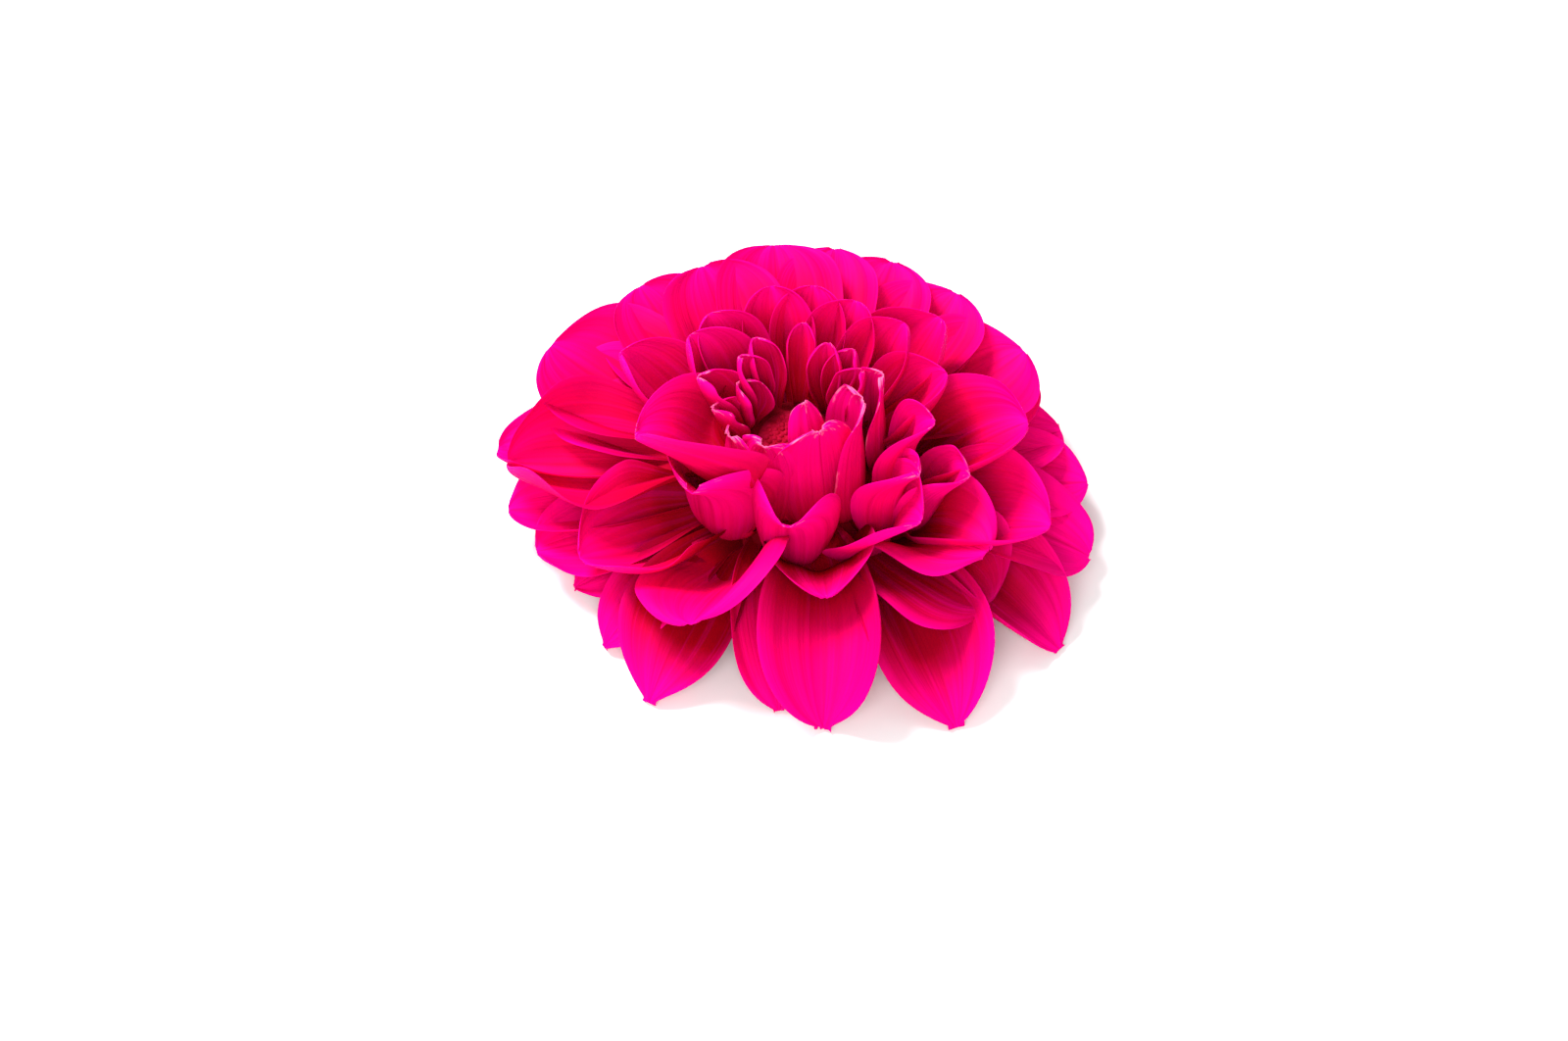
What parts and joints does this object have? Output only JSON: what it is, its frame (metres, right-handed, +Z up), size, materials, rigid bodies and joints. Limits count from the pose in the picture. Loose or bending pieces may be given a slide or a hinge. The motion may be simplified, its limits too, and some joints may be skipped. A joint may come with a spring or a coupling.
{
  "type": "preserved dahlia bloom",
  "caption": "Preserved dahlia bloom lying face up: layered cupped ray petals round a dark eye of disc florets, with pale and green bracts under the head.",
  "frame": {"origin": "centre of the small flat face under the flower head, in the plane of the surface it lies on", "axes": "+Z up out of the face of the bloom, +X to the right and +Y away from the viewer in the picture"},
  "size_m": [0.1107, 0.0986, 0.0384],
  "materials": {
    "petal_pink": "dry satin petal, hot magenta, deeper crimson towards the root and inside the cups",
    "floret_crimson": "matte dark crimson closed florets with brown tips",
    "bract_straw": "thin matte straw-coloured bract",
    "calyx_green": "matte dull green, slightly leathery when dried"
  },
  "bodies": {
    "root": {"bloom": "petal_pink", "disc": "floret_crimson", "inner_bracts": "bract_straw", "calyx": "calyx_green"}
  },
  "joints": []
}
